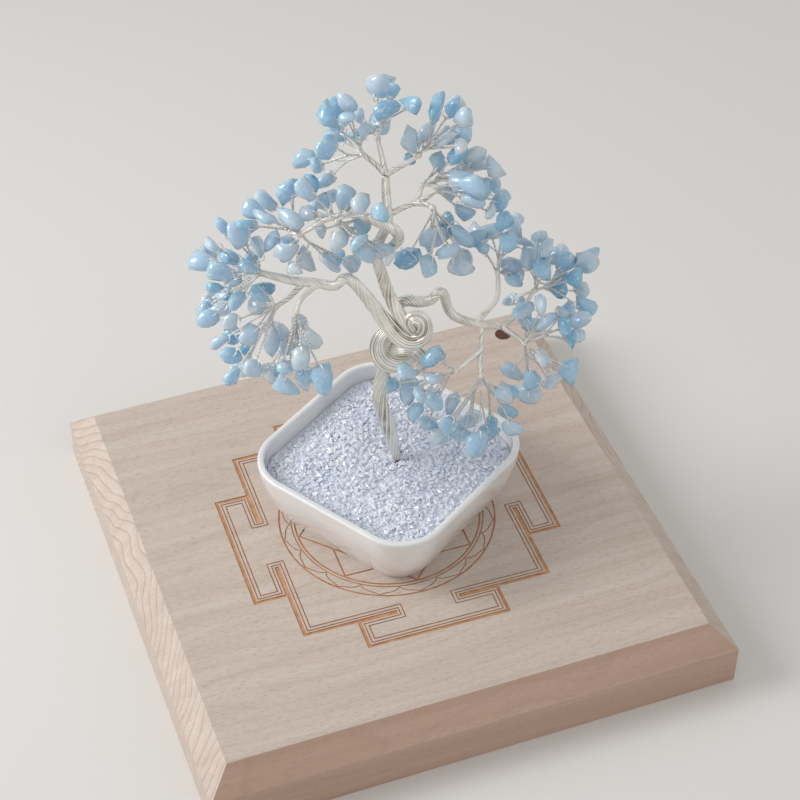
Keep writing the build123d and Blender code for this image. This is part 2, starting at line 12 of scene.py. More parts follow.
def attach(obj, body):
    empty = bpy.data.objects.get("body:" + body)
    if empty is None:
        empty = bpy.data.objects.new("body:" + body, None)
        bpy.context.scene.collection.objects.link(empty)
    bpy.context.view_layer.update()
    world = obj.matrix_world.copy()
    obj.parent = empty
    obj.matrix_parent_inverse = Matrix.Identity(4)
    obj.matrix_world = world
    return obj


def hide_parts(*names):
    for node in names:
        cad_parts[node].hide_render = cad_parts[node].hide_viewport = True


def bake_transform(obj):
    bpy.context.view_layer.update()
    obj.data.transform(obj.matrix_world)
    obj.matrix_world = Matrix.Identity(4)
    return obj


bl_info = {
    "name": "Gemstone Tree",
    "version": (1, 0, 0),
    "blender": (4, 5, 0),
    "location": "View3D > Sidebar > Gem Tree",
    "description": "Winds the wires, sets the stones and fills the pot of a gemstone tree",
    "category": "Object",
}

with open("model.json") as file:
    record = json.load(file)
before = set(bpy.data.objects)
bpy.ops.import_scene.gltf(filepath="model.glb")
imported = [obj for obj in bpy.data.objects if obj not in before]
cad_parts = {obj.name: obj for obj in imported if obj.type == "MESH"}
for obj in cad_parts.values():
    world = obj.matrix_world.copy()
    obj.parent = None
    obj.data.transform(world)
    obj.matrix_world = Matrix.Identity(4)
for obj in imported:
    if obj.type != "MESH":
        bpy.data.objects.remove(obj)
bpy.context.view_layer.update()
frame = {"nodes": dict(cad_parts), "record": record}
BODY_OF = {node: body for body, nodes in frame["record"]["behaviour"]["bodies"].items() for node in nodes}
TREE = "potted_tree"
TAU = 2 * math.pi
MM = 0.001
MADE = {}  # materials made so far, by their look
rng = np.random.default_rng(23)

# How the photograph looks at the tree, the same as the solids' source has it
VIEW_TURN = math.radians(-20.2)
VIEW_DROP = math.radians(43.37)
FOCAL_PX = 2156
CENTRE_PX = 400
FOOT_PX = (398, 459)
TREE_HEIGHT = 0.24
TREE_PX = 427
PIXEL = TREE_HEIGHT / TREE_PX
EYE_SHARE = 5.05
TRUNK_FOOT = np.array([0.0083, 0.005, 0.076])
ACROSS = np.array([math.cos(VIEW_TURN), math.sin(VIEW_TURN), 0.0])
AWAY = np.array([-math.sin(VIEW_TURN), math.cos(VIEW_TURN), 0.0])
UP = np.array([0.0, 0.0, 1.0])

# Camera fitted to the board's corners
CAMERA_PLACE = (-0.287, -0.801, 0.932)
CAMERA_FORWARD = np.array([0.2512, 0.6821, -0.6867])
CAMERA_RIGHT = np.array([0.9386, -0.3451, 0.0006])
CAMERA_LENS = 97.0

# Lamps: places and widths in metres, and the angle that their light spreads over
KEY_PLACE, KEY_WIDTH = (-1.55, 0.58, 1.12), 1.0
FILL_PLACE, FILL_WIDTH = (1.0, -1.2, 1.3), 1.4
AIM = (0, 0, 0.1)
LAMP_SPREAD = math.radians(80)

# Strength of the background where the camera, a gloss or a clear stone sees it; the sky's own light is weaker
BACKGROUND_STRENGTH = 0.82

# Floor: half its side, and how far it lies under the board
FLOOR_HALF = 3.0
FLOOR_DROP = 0.0002

# Ropes, in millimetres: widths and lengths of one turn of their wires, for each place where a list is given
TRUNK_WIDTHS = [3, 3.8, 7.4, 9, 8, 8, 8, 7.6, 6]
TRUNK_LAY = 80
SWIRL_WIDTHS = [5, 6.4, 8, 9.2, 9.6, 10, 10, 9.4, 8.2, 7.2, 6.6]
LEFT_WIDTHS = [6.0, 5.8, 5.6, 5.4, 5.2, 4.8, 4.4, 3.6]
LEFT_LAYS = [300] * 8 + [120, 60, 30] + [16] * len(LEFT_WIDTHS)
CENTRE_WIDTHS = [4.4, 7.4, 7, 6.6, 6.2]
CROWN_WIDTHS = [5.8, 5.6, 5.6, 5.2, 4.8, 4]
CROWN_LAYS = [120, 90, 70, 40, 26, 20, 17, 16, 16, 16, 16]
CROSSING_WIDTHS = [5.2, 5.8, 6, 5.6, 5, 4.4, 4]
CROSSING_LAY = 16
RIGHT_WIDTHS = [4.4, 5, 6, 6.6, 6.4]
BOUGH_WIDTHS = [5.6, 5.6, 5.4, 5.4, 5.2, 5, 4.6, 4.2, 3.6]
RIGHT_LAYS = [60, 50, 36, 24, 18] + [16] * len(BOUGH_WIDTHS)
BRANCH_WIDTHS = (3.5, 2.4)
BRANCH_LAY = 11

# Depth of a rope's section as a share of its width
SWIRL_FLAT, BAND_FLAT, LOOP_FLAT = 0.8, 0.6, 0.75

# Every second wire lies this share of the radius deeper and is this much darker, as painted shade; the rest
# of a wire's tone is painted shade, high on its crests and low in the grooves, plus some chance, and a dark
# core as wide as a share of the rope fills the middle as painted shade between the wires
SUNK_WIRES = 0.07
SUNK_SHADE = 0.2
CREST_SHARE, CHANCE_SHARE = 0.7, 0.3
CORE_SHARE, CORE_SIDES = 0.8, 8

# Chips: how far they outgrow their solids along each axis, rows and columns, taper, tones and flats
CHIP_FULLNESS = np.array([1.13, 1.17, 1.04])
CHIP_GRID = (5, 10)
CHIP_TAPER = (-0.15, 0.4)
CHIP_TONES = (1.8, 1.5)
CUBE_CORNER = 0.577
FLAT_TILT = 0.32
FLAT_DISTANCES = (0.72, 1.0)
FLAT_POWER = 5

# A stone this near the lower knot is slimmer, which leaves the low bough room to bend
KNOT_MIDDLE = np.array([0.005, 0.008, 0.1405])
KNOT_ROOM = 0.012
SLIM_FULLNESS = np.array([0.78, 0.78, 0.86])

# Twigs: where a stem forks and how far it bows, as shares of the way to the nearest stone, and how the
# twigs of one stem wind round each other
FORK_SHARE, BOW_SHARE = 0.42, 0.16
STEM_LAY, STEM_RADIUS, STEM_TWIGS = 0.007, 0.0005, 3
TWIG_POINTS, STEPS_PER_LAY, TWIG_SIDES = 12, 7, 4
# Least tone of a twig wire, on the inner side of its pair, as painted shade
LEAST_TWIG_SHADE_TONE = 0.62

# Drill wire: shares of the stone's depth across and half length away from the hub, and wire widths away
DRILL_DEPTH, DRILL_WIRE, DRILL_TONE = 0.86, 0.42, 0.8
DRILL_LOOP = np.array([
    (0, 0, -1), (0.75, 0, -0.3), (1, 0.25, 0), (0.96, 0.55, 0), (0.5, 0.55, 0),
    (-0.5, 0.55, 0), (-0.96, 0.55, 0), (-1, 0.25, 0), (-0.75, 0, -0.3), (0, 0, -1),
])

# Hub of a spray: a ball wrapped in slanting turns of wire; the ball's low tone is painted shade between the
# turns
HUB = 0.0032
HUB_BALL, HUB_SHADE = 0.42, 0.3
COIL_POINTS, COIL_TURNS, COIL_RISE, COIL_WIRE, COIL_SIDES, COIL_TONE = 60, 4, 0.8, 0.14, 5, 0.6
COIL_LEAN = np.array([0.4, 0.3, 1.0])

# Pot and bed, the same as the solids' source has them
POT_CENTRE = np.array([0.004, 0.007])
POT_TURN = math.radians(32.8)
BED_HALF = 0.0548
BED_CORNER = 0.0215
BED_LEVEL = 0.073
BED_MOUND = 0.003
MOUND_HALF = 0.0254
ROOT_LENGTH = 0.012

# Grit: free radius round the trunk's foot, height of each layer over the bed in grains and share of its
# places that are filled, room to the wall in grains, and how far each shard differs by chance
FOOT_RADIUS = 0.0022
GRIT_LAYERS = [(-0.14, 1.0), (0.16, 0.45)]
WALL_MARGIN = 0.55
PLACE_CHANCE, RISE_CHANCE, CORNER_CHANCE = 0.3, 0.08, 0.25
SIZE_CHANCES = (0.6, 1.25)
LEAST_SIDES, MOST_SIDES = (0.8, 0.8, 0.5), (1.25, 1.25, 0.8)
GRAIN_TILT = 0.3

# Board: burned lines, and how the coordinates are moved so that the growth rings' heart is at their origin
BOARD_TOP, BURN_DEPTH, BURN_SLACK, BURN_REACH = 0.038, 0.0005, 0.0001, 0.128
HEART_SHIFT = (0.0, -0.03, 0.11)
RING_SPACING, RING_WANDER = 0.0045, 0.035

# Places of the ropes in the photograph: column, row and pixels behind the trunk's foot
TRUNK_PX = [
    (393, 438, 0), (383, 412, 0), (379, 394, 1), (383, 376, 4), (388, 358, 8), (392, 341, 14), (396, 327, 20),
]
LEFT_PIVOT_PX, CROWN_PIVOT_PX = (350, 279, -5), (379, 266, 2)
RIGHT_PIVOT_PX, FRONT_PIVOT_PX = (433, 301, 3), (482, 333.5, 2)
SWIRL_PX = [
    (414, 332, -19), (408, 325, -18), (414, 317, -17), (424, 321, -17), (426, 334, -17), (416, 342, -17),
    (404, 341, -17), (393, 331, -15), (384, 320, -12), (372, 304, -8), (360, 289, -6),
]
LEFT_ROPE_PX = [
    (343, 279, -5), (336, 288, -4), (320, 284, 0), (305, 283, 0), (290, 281, 0), (276, 277, 0), (262, 274, 2),
]
CENTRE_ROPE_PX = [(414, 331, -18), (404, 321, -13), (395, 307, -4), (387, 290, 2)]
CROWN_ROPE_PX = [(375, 253, 4), (380, 240, 6), (388, 226, 10), (388, 210, 16), (386, 193, 22), (386, 176, 28)]
RIGHT_ROPE_PX = [(397, 325, 17), (399, 313, 12), (398, 305, 7), (408, 300, 9), (418, 303, 6)]
RIGHT_BOUGH_PX = [
    (438, 292, 2), (445, 294, 5), (446, 304, 8), (452, 316, 8), (464, 321, 7),
    (476, 324, 6), (489, 326, 5), (502, 327, 4),
]
FRONT_FORK_PX = (482, 326, 5)
FRONT_ROPE_PX = [(482, 350, -4), (480, 363, -14), (482, 377, -26)]
CROSSING_ROPE_PX = [
    (386, 252, 3), (401, 242, -6), (397, 231, -15), (383, 225, -17), (368, 218, -14), (355, 213, -10),
    (342, 216, -8),
]
CROWN_BRANCHES_PX = [
    [(386, 176, 28), (378, 165, 32), (363, 155, 36)],
    [(386, 176, 28), (383, 160, 34), (378, 139, 44)],
    [(386, 176, 28), (395, 170, 30), (407, 164, 34), (419, 156, 38)],
    [(388, 216, 14), (403, 208, 18), (414, 204, 20), (421, 195, 24), (422, 186, 28)],
    [(414, 204, 20), (426, 201, 20), (436, 191, 24)],
    [(414, 204, 20), (425, 203, 16), (433, 208, 12)],
]
CROSSING_BRANCHES_PX = [
    [(342, 216, -8), (327, 219, -8), (313, 228, -6), (301, 235, -4)],
    [(342, 216, -8), (338, 222, -18)],
]
LEFT_BRANCHES_PX = [
    [(320, 284, 0), (309, 292, -6), (300, 301, -14), (297, 312, -22)],
    [(305, 283, 0), (296, 292, -2), (287, 301, -6), (277, 307, -12)],
]
RIGHT_BRANCHES_PX = [
    [(476, 324, 6), (488, 311, 12), (498, 300, 18), (499, 287, 24), (498, 273, 30)],
    [(502, 327, 4), (514, 319, 12), (525, 306, 22), (535, 291, 34)],
    [(502, 327, 4), (515, 336, -1), (525, 344, -6)],
]
FRONT_BRANCHES_PX = [[(482, 350, -4), (471, 361, -16), (457, 371, -28)]]
HUBS_PX = {
    "crown_left": (363, 155, 36), "crown_top": (378, 139, 44), "crown_right": (419, 156, 38),
    "right_crown": (422, 186, 28), "right_crown_end": (436, 191, 24), "right_crown_drop": (433, 208, 12),
    "left_canopy": (338, 222, -18), "left_canopy_end": (301, 235, -4), "left_bough": (262, 274, 2),
    "left_under": (277, 307, -12), "left_hanging": (297, 312, -22), "right_upper": (498, 273, 30),
    "right_outer": (535, 291, 34), "right_lower": (525, 344, -6), "front": (482, 377, -26),
    "front_left": (457, 371, -28),
}

# Lower knot: a band that fans out round the trunk's front, and a loop that turns over beside it
LOWER_BAND_PX = [
    (392, 326, -2), (381, 336, -6), (378, 349, -9), (384, 361, -11), (396, 366, -12), (408, 363, -10),
    (416, 357, -6),
]
LOWER_BAND_WIDTHS = [4.4, 7.6, 10, 11.6, 10.4, 7.4, 4]
LOWER_LOOP_PX = [
    (388, 354, -8), (400, 350, -12), (412, 350, -15), (422, 355, -14), (425, 365, -10), (418, 372, -4),
]
LOWER_LOOP_WIDTHS = [3.4, 6, 7, 7.4, 6.4, 4.4]
LOWER_LAY = 260


# Places and routes

def sight_line(column, row):
    """Direction through a place in the picture, as across, away and up shares of one step away."""
    aside = (column - CENTRE_PX) / FOCAL_PX
    below = (row - CENTRE_PX) / FOCAL_PX
    away = math.cos(VIEW_DROP) - below * math.sin(VIEW_DROP)
    rise = -math.sin(VIEW_DROP) - below * math.cos(VIEW_DROP)
    return np.array([aside, away, rise])


FOOT_SIGHT = sight_line(*FOOT_PX) / np.linalg.norm(sight_line(*FOOT_PX))
EYE = -FOOT_SIGHT * TREE_HEIGHT * EYE_SHARE
SIGHT = FOOT_SIGHT[0] * ACROSS + FOOT_SIGHT[1] * AWAY + FOOT_SIGHT[2] * UP


def spot(column, row, back=0):
    """Point on the line of sight through a picture place, a number of pixels behind the trunk's foot."""
    sight = sight_line(column, row)
    local = EYE + sight * (back * PIXEL - EYE[1]) / sight[1]
    return TRUNK_FOOT + local[0] * ACROSS + local[1] * AWAY + local[2] * UP


def spots(places):
    return [spot(*place) for place in places]


def even_steps(points, step):
    """The points of a line, with whatever else stands in their rows, set out again at even steps."""
    runs = np.linalg.norm(np.diff(points[:, :3], axis=0), axis=1)
    along = np.concatenate([[0], np.cumsum(runs)])
    even = np.linspace(0, along[-1], max(4, round(along[-1] / step)))
    return np.stack([np.interp(even, along, column) for column in points.T], axis=1), even


def smooth_route(places, step):
    """Points at even steps along the smooth spline that has the places as its control points.

    With them come the length at each point and how far along the row of places it is."""
    curve = bpy.data.curves.new("route", "CURVE")
    curve.dimensions = "3D"
    curve.resolution_u = 16
    spline = curve.splines.new("NURBS")
    spline.points.add(len(places) - 1)
    spline.points.foreach_set("co", np.hstack([np.array(places), np.ones((len(places), 1))]).ravel())
    spline.order_u = min(3, len(places))
    spline.use_endpoint_u = True
    holder = bpy.data.objects.new("route", curve)
    line = bpy.data.meshes.new_from_object(holder)
    points = np.empty(len(line.vertices) * 3)
    line.vertices.foreach_get("co", points)
    points = points.reshape(-1, 3)
    bpy.data.objects.remove(holder)
    bpy.data.curves.remove(curve)
    bpy.data.meshes.remove(line)
    order = np.arange(len(places))
    seats = order if len(places) < 3 else np.clip(order - 0.5, 0, len(places) - 2)
    passed = np.interp(np.linspace(0, seats[-1], len(points)), seats, order)
    rows, along = even_steps(np.column_stack([points, passed]), step)
    return rows[:, :3], along, rows[:, 3]


# Meshes

def unit(vectors):
    return vectors / np.maximum(np.linalg.norm(vectors, axis=-1, keepdims=True), 1e-12)


def tube_mesh(paths, outward, radii, sides):
    """Round tubes along many paths at once: each ring is path + radius (outward cos + sideways sin).

    Paths and outward are arrays of tube, step, axis. Each tube is closed by a cap at both ends."""
    tubes, steps, _ = paths.shape
    tangent = unit(np.gradient(paths, axis=1))
    outward = unit(outward - tangent * (outward * tangent).sum(axis=2, keepdims=True))
    sideways = np.cross(tangent, outward)
    turn = np.arange(sides) * TAU / sides
    ring = outward[:, :, None] * np.cos(turn)[:, None] + sideways[:, :, None] * np.sin(turn)[:, None]
    radii = np.broadcast_to(radii, (tubes, steps))
    corners = (paths[:, :, None] + ring * radii[:, :, None, None]).reshape(-1, 3)
    index = np.arange(tubes * steps * sides).reshape(tubes, steps, sides)
    after = np.roll(index, -1, axis=2)
    walls = np.stack([index[:, :-1], after[:, :-1], after[:, 1:], index[:, 1:]], axis=-1).reshape(-1, 4)
    caps = np.concatenate([index[:, 0, ::-1], index[:, -1]])
    return corners, walls.tolist() + caps.tolist()


def ball_grid(rows, columns):
    """Directions on a grid of turn and rise with one corner at each pole, and the faces between them."""
    rise = np.linspace(-math.pi / 2, math.pi / 2, rows + 2)[1:-1, None]
    turn = np.arange(columns)[None] * TAU / columns
    sideways = np.cos(rise)
    ball = np.stack(np.broadcast_arrays(sideways * np.cos(turn), sideways * np.sin(turn), np.sin(rise)), -1)
    ball = np.concatenate([[[0, 0, -1]], ball.reshape(-1, 3), [[0, 0, 1]]])
    index = 1 + np.arange(rows * columns).reshape(rows, columns)
    after = np.roll(index, -1, axis=1)
    quads = np.stack([index[:-1], after[:-1], after[1:], index[1:]], axis=-1).reshape(-1, 4)
    foot = np.stack([after[0], index[0], np.zeros(columns, int)], axis=-1)
    head = np.stack([index[-1], after[-1], np.full(columns, len(ball) - 1)], axis=-1)
    return ball, quads, np.concatenate([foot, head])


def chip_mesh(middles, frames, halves, rows, columns):
    """Closed chips with rounded flats: radius = (sum of (slant to a flat / its distance)^power)^(-1/power).

    A slant is the cosine between a direction and a flat, or 0 behind it. The flats stand on the three
    axes both ways and at four corners, tilted by chance. Each chip narrows toward one pole by chance
    and is then scaled to fill its half sizes."""
    ball, quads, caps = ball_grid(rows, columns)
    count = len(middles)
    corners_of_cube = np.array([(1, 1, 1), (-1, -1, 1), (1, -1, -1), (-1, 1, -1)]) * CUBE_CORNER
    flats = np.concatenate([np.eye(3), -np.eye(3), corners_of_cube])
    flats = unit(flats + rng.normal(0, FLAT_TILT, (count, *flats.shape)))
    distance = rng.uniform(*FLAT_DISTANCES, (count, 1, flats.shape[1]))
    slant = np.clip(np.einsum("ca,pfa->pcf", ball, flats), 0, None) / distance
    radius = (slant**FLAT_POWER).sum(axis=2) ** (-1 / FLAT_POWER)
    local = ball[None] * radius[..., None]
    local[..., :2] *= (1 + rng.uniform(*CHIP_TAPER, (count, 1)) * ball[None, :, 2])[..., None]
    low, high = local.min(axis=1, keepdims=True), local.max(axis=1, keepdims=True)
    local = (2 * (local - low) / (high - low) - 1) * halves[:, None]
    corners = middles[:, None] + np.einsum("pca,pax->pcx", local, frames)
    shift = np.arange(count)[:, None, None] * len(ball)
    faces = (quads + shift).reshape(-1, 4).tolist() + (caps + shift).reshape(-1, 3).tolist()
    return corners.reshape(-1, 3), faces


def join_meshes(parts):
    """Several corner and face lists as one, the later faces counted on from the earlier corners."""
    corners, faces, tones = [], [], []
    count = 0
    for part_corners, part_faces, part_tones in parts:
        corners.append(part_corners)
        faces += [[corner + count for corner in face] for face in part_faces]
        tones.append(part_tones)
        count += len(part_corners)
    return np.concatenate(corners), faces, np.concatenate(tones)


def add_piece(name, corners, faces, tones, look, smooth=True):
    """Object at the origin with its place in its mesh, a look and one tone for each corner."""
    mesh = bpy.data.meshes.new(name)
    mesh.from_pydata(corners.tolist(), [], faces)
    mesh.polygons.foreach_set("use_smooth", [smooth] * len(mesh.polygons))
    mesh.attributes.new("tone", "FLOAT", "POINT").data.foreach_set("value", tones)
    mesh.materials.append(material_of(look))
    mesh.validate()
    piece = bpy.data.objects.new(name, mesh)
    bpy.context.scene.collection.objects.link(piece)
    return piece


def crests(count, steps, sides, sunk=0.0):
    """Tone of each corner of a row of tubes, as painted shade: high on the outer side, low on the inner where
    the wires meet, a little by chance, and lower on every second tube, which lies deeper."""
    outer = (1 + np.cos(np.arange(sides) * TAU / sides)) / 2
    chance = rng.random(count)[:, None, None]
    fall = sunk * (np.arange(count) % 2)[:, None, None]
    return np.broadcast_to(CREST_SHARE * outer + CHANCE_SHARE * chance - fall, (count, steps, sides)).ravel()


def wound_rope(places, widths, lays, settings, flat=1.0):
    """Bundle of wires round a core: wire k lies at angle k/count + length/lay, added up along the route.

    Widths and lays may be given for each place. The section is an ellipse, as wide as the width across
    the line of sight and flat times as deep along it. A wire's radius is half the way to the next one."""
    points, along, passed = smooth_route(places, settings.wire_step)
    order = np.arange(len(places))
    wide = np.interp(passed, order, np.broadcast_to(widths, len(places))) / 2 * MM
    lay = np.interp(passed, order, np.broadcast_to(lays, len(places))) * MM
    deep = wide * flat
    tangent = unit(np.gradient(points, axis=0))
    normal = unit(np.cross(tangent, SIGHT))
    binormal = np.cross(tangent, normal)
    count = settings.strands if wide.max() > BRANCH_WIDTHS[0] * MM / 2 else settings.branch_strands
    turns = np.concatenate([[0], np.cumsum(np.diff(along) / lay[1:])])
    angle = TAU * (np.arange(count)[:, None] / count + turns[None])
    cosine, sine = np.cos(angle), np.sin(angle)
    wire = math.pi / count * np.hypot(wide * sine, deep * cosine)
    lift = 1 - SUNK_WIRES * (np.arange(count) % 2)[:, None]
    aside, before = lift * cosine * (wide - wire), lift * sine * (deep - wire)
    paths = points[None] + normal * aside[..., None] + binormal * before[..., None]
    outward = unit(normal * (cosine / wide)[..., None] + binormal * (sine / deep)[..., None])
    corners, faces = tube_mesh(paths, outward, wire, settings.wire_sides)
    tones = crests(count, len(points), settings.wire_sides, SUNK_SHADE)
    # the core is a dark tube of tone 0: painted shade in the middle of the rope, between the wires
    core_radii = np.minimum(wide, deep) * CORE_SHARE
    core, core_faces = tube_mesh(points[None], normal[None], core_radii[None], CORE_SIDES)
    return join_meshes([(corners, faces, tones), (core, core_faces, np.zeros(len(core)))])


def wound_branches(routes, settings):
    """Thin ropes that narrow evenly from fork to tip."""
    return [
        wound_rope(spots(route), np.linspace(*BRANCH_WIDTHS, len(route)), BRANCH_LAY, settings)
        for route in routes
    ]


# Materials

def linear(code):
    """Linear red, green, blue and 1 of an sRGB hex code."""
    values = np.array([int(code[i:i + 2], 16) for i in (1, 3, 5)]) / 255
    values = np.where(values <= 0.04045, values / 12.92, ((values + 0.055) / 1.055) ** 2.4)
    return (*(float(value) for value in values), 1.0)


def set_inputs(tree, node, inputs):
    """Put a value or a link on each named input of a node."""
    for name, value in inputs.items():
        if isinstance(value, bpy.types.NodeSocket):
            tree.links.new(value, node.inputs[name])
        else:
            node.inputs[name].default_value = value


def add_node(tree, kind, inputs=None, output=0, stops=(), **settings):
    """One output of a new shader node with its settings, its inputs and a ramp's positions and hex codes."""
    made = tree.nodes.new("ShaderNode" + kind)
    for name, value in settings.items():
        setattr(made, name, value)
    set_inputs(tree, made, inputs or {})
    if stops:
        elements = made.color_ramp.elements
        while len(elements) < len(stops):
            elements.new(0.5)
        for element, (position, code) in zip(elements, stops):
            element.position = position
            element.color = linear(code)
    return made.outputs[output]


def material_of(look):
    """The one material of a look, named after it and made when it is first asked for.

    A look is a function that adds nodes and returns what goes on the shader's inputs."""
    if look not in MADE:
        MADE[look] = bpy.data.materials.new(look.__name__)
        MADE[look].use_nodes = True
        tree = MADE[look].node_tree
        node = functools.partial(add_node, tree)
        set_inputs(tree, tree.nodes["Principled BSDF"], look(node, node("TexCoord", output="Object")))
    return MADE[look]


def scale_for(*sizes):
    """Pattern scale for features of a size in millimetres, or for one size along each axis."""
    scales = tuple(1 / (size * MM) for size in sizes)
    return scales if len(scales) > 1 else scales[0]


def drawn_silvered_wire(node, coords):
    """Silvered craft wire, drawn and lacquered: bright, faintly warm, with tarnish, draw marks and painted
    shade.

    Real draw marks are too fine to show, so they are drawn 1.1 mm wide."""
    tone = node("Attribute", output="Fac", attribute_name="tone")
    tarnish = node("TexNoise", {"Vector": coords, "Scale": scale_for(6.25), "Detail": 3.0})
    spread = node("MapRange", {
        "Value": tarnish, "From Min": 0.3, "From Max": 0.7, "To Min": -0.1, "To Max": 0.1,
    })
    mixed = node("Math", {0: tone, 1: spread}, operation="ADD")
    marks = node("TexNoise", {"Vector": coords, "Scale": scale_for(1.1111)})
    return {
        # the ramp's dark end is painted shade in the grooves, in the rope's core and in the hub's ball; its
        # light end is painted light on the crests
        "Base Color": node("ValToRGB", {"Fac": mixed}, stops=[
            (0.0, "#332e28"), (0.24, "#6b6459"), (0.42, "#bdb5a6"), (0.6, "#ebe7de"), (1.0, "#ffffff"),
        ]),
        "Roughness": node("MapRange", {"Value": tarnish, "To Min": 0.22, "To Max": 0.4}),
        "Metallic": 0.75,
        "Normal": node("Bump", {"Height": marks, "Distance": 0.0002, "Strength": 0.2}),
    }


def tumbled_blue_stone(node, coords):
    """Tumbled gem chips: clouded translucent quartz and aquamarine, polished, each chip with its own tint."""
    tone = node("Attribute", output="Fac", attribute_name="tone")
    cloud = node("TexNoise", {"Vector": coords, "Scale": scale_for(4.7619), "Detail": 5.0, "Roughness": 0.62})
    spread = node("MapRange", {
        "Value": cloud, "From Min": 0.3, "From Max": 0.7, "To Min": -0.12, "To Max": 0.12,
    })
    tint = node("Math", {0: tone, 1: spread}, operation="ADD")
    colour = node("ValToRGB", {"Fac": tint}, stops=[
        (0.0, "#80c0e0"), (0.18, "#a2d2ef"), (0.4, "#bbddf7"),
        (0.65, "#cbe2fc"), (0.85, "#d6e7fe"), (1.0, "#e8f2fe"),
    ])
    vein = node("TexNoise", {"Vector": coords, "Scale": scale_for(2.381), "Distortion": 1.5})
    mist = node("MapRange", {"Value": vein, "From Min": 0.58, "From Max": 0.72})
    return {
        "Base Color": node("Mix", {0: mist, 6: colour, 7: linear("#f1f5fa")}, output=2, data_type="RGBA"),
        "Roughness": 0.16, "IOR": 1.56, "Transmission Weight": 0.22,
        "Subsurface Weight": 0.9, "Subsurface Radius": (0.7, 0.9, 1.0), "Subsurface Scale": 0.005,
        "Coat Weight": 0.5, "Coat Roughness": 0.08,
        "Normal": node("Bump", {"Height": vein, "Distance": 0.0003, "Strength": 0.2}),
    }


def crushed_quartz_grit(node, coords):
    """Crushed quartz: milky and frosted grains with sharp faces.

    Clear grains came out far too dark, and frosting is too fine to show, so it is drawn 1.4 mm wide."""
    tone = node("Attribute", output="Fac", attribute_name="tone")
    frost = node("TexNoise", {"Vector": coords, "Scale": scale_for(1.4286), "Detail": 3.0})
    return {
        "Base Color": node("ValToRGB", {"Fac": tone}, stops=[
            (0.0, "#dfe5f3"), (0.4, "#e8edf9"), (0.8, "#f1f5fd"), (1.0, "#fcfdff"),
        ]),
        "Roughness": node("MapRange", {"Value": frost, "To Min": 0.04, "To Max": 0.34}),
        "IOR": 1.54,
        "Subsurface Weight": 0.12, "Subsurface Radius": (1.0, 1.0, 1.0), "Subsurface Scale": 0.005,
        "Normal": node("Bump", {"Height": frost, "Distance": 0.0003, "Strength": 0.4}),
    }


def glazed_white_stoneware(node, coords):
    """White stoneware under a clear glossy glaze: thin bluish pooling, pinholes and a soft ripple."""
    pools = node("TexNoise", {"Vector": coords, "Scale": scale_for(38.46), "Detail": 4.0})
    colour = node("ValToRGB", {"Fac": pools}, stops=[(0.3, "#e1e2e5"), (0.55, "#eeeeee"), (0.75, "#f6f5f3")])
    pinholes = node("TexVoronoi", {"Vector": coords, "Scale": scale_for(4.1667)})
    clear = node("MapRange", {"Value": pinholes, "From Min": 0.05, "From Max": 0.11})
    ripple = node("TexNoise", {"Vector": coords, "Scale": scale_for(11.111)})
    return {
        "Base Color": node("Mix", {0: clear, 6: linear("#cfcdca"), 7: colour}, output=2, data_type="RGBA"),
        "Roughness": 0.22, "Coat Weight": 0.8, "Coat Roughness": 0.06,
        "Normal": node("Bump", {"Height": ripple, "Distance": 0.0008, "Strength": 0.25}),
    }


def cast_plaster(node, coords):
    """Cast plaster: matt, off-white and pitted."""
    pits = node("TexNoise", {"Vector": coords, "Scale": scale_for(3.3333), "Detail": 4.0})
    return {
        "Base Color": node("ValToRGB", {"Fac": pits}, stops=[(0.3, "#c9c4ba"), (0.7, "#ded9cf")]),
        "Roughness": 0.9,
        "Normal": node("Bump", {"Height": pits, "Distance": 0.0004, "Strength": 0.4}),
    }


